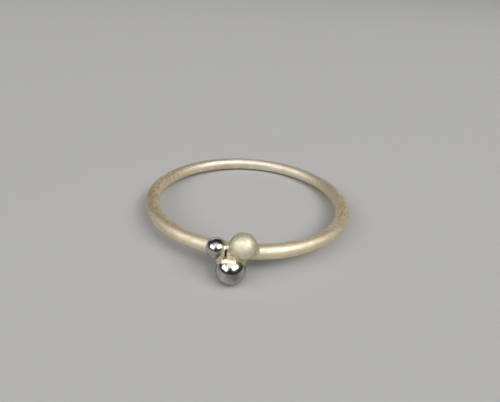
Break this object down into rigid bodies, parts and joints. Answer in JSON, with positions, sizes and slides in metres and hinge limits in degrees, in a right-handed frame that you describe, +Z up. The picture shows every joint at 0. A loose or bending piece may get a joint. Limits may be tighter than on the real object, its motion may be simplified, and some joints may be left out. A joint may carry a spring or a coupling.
{
  "type": "finger ring",
  "caption": "Thin finger ring of round silver wire with a small cluster of soldered balls at its front, polished and satin, lying on its side.",
  "frame": {"origin": "middle of the ring's bounding box at the surface that it lies on", "axes": "-Y towards the front, where the balls are; +Z up, about along the finger; +X to the right seen from the front"},
  "size_m": [0.0201, 0.0222, 0.0042],
  "materials": {
    "satin_silver": "satin silver with a warm tone, lightly tarnished",
    "polished_silver": "polished silver",
    "silver_solder": "silver solder, uneven and slightly yellow"
  },
  "bodies": {
    "root": {"soldered_ring": "satin_silver"}
  },
  "joints": []
}
